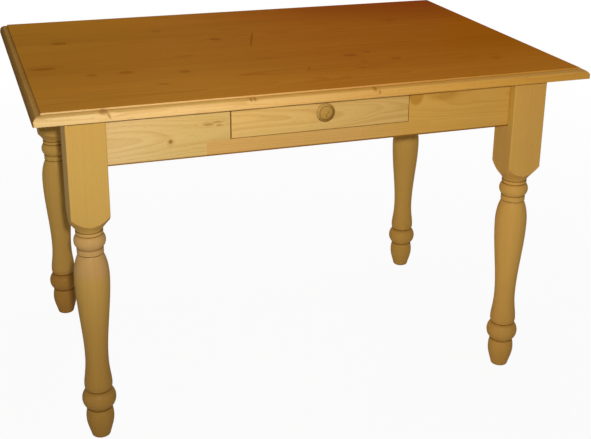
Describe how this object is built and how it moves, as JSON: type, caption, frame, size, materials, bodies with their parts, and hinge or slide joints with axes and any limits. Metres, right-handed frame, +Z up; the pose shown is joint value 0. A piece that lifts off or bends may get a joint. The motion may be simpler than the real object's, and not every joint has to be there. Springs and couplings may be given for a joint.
{
  "type": "tavern table",
  "caption": "Rectangular pine farmhouse table with a moulded boarded top, baluster-turned legs on peg feet, and a flush knobbed drawer in the front apron.",
  "frame": {"origin": "on the floor, under the middle of the top", "axes": "+Z up, +X along the table's length, -Y out of the drawer front"},
  "size_m": [1.2, 0.82, 0.775],
  "materials": {
    "top_pine": "waxed amber pine",
    "leg_pine": "waxed honey pine",
    "apron_pine": "waxed honey pine",
    "drawer_pine": "waxed honey pine",
    "inner_pine": "bare planed pine",
    "box_pine": "bare planed pine",
    "knob_wood": "waxed turned pine",
    "dowel_beech": "bare beech",
    "screw_steel": "plain zinc-plated steel"
  },
  "bodies": {
    "table": {"top_board_1": "top_pine", "top_board_2": "top_pine", "top_board_3": "top_pine", "top_board_4": "top_pine", "top_board_5": "top_pine", "top_board_6": "top_pine", "leg_back_right": "leg_pine", "leg_back_left": "leg_pine", "leg_front_right": "leg_pine", "leg_front_left": "leg_pine", "apron_back": "apron_pine", "apron_right": "apron_pine", "apron_left": "apron_pine", "apron_front_left": "apron_pine", "apron_front_right": "apron_pine", "drawer_rail": "apron_pine", "runner_left": "inner_pine", "guide_left": "inner_pine", "kicker_left": "inner_pine", "drawer_stop_left": "inner_pine", "runner_right": "inner_pine", "guide_right": "inner_pine", "kicker_right": "inner_pine", "drawer_stop_right": "inner_pine", "top_button_1": "inner_pine", "top_button_2": "inner_pine", "top_button_3": "inner_pine", "top_button_4": "inner_pine", "top_button_5": "inner_pine", "top_button_6": "inner_pine", "top_button_7": "inner_pine", "top_button_8": "inner_pine", "top_button_9": "inner_pine", "rail_dowels": "dowel_beech", "button_screws": "screw_steel", "kicker_screws": "screw_steel"},
    "drawer": {"drawer_front": "drawer_pine", "drawer_side_left": "box_pine", "drawer_side_right": "box_pine", "drawer_back": "box_pine", "drawer_bottom": "box_pine", "drawer_knob": "knob_wood", "knob_screw": "screw_steel", "bottom_pins": "screw_steel"}
  },
  "joints": [
    {"name": "drawer_slide", "type": "slide", "parent": "table", "child": "drawer", "axis": [0, -1, 0], "range_m": [0, 0.36]}
  ]
}
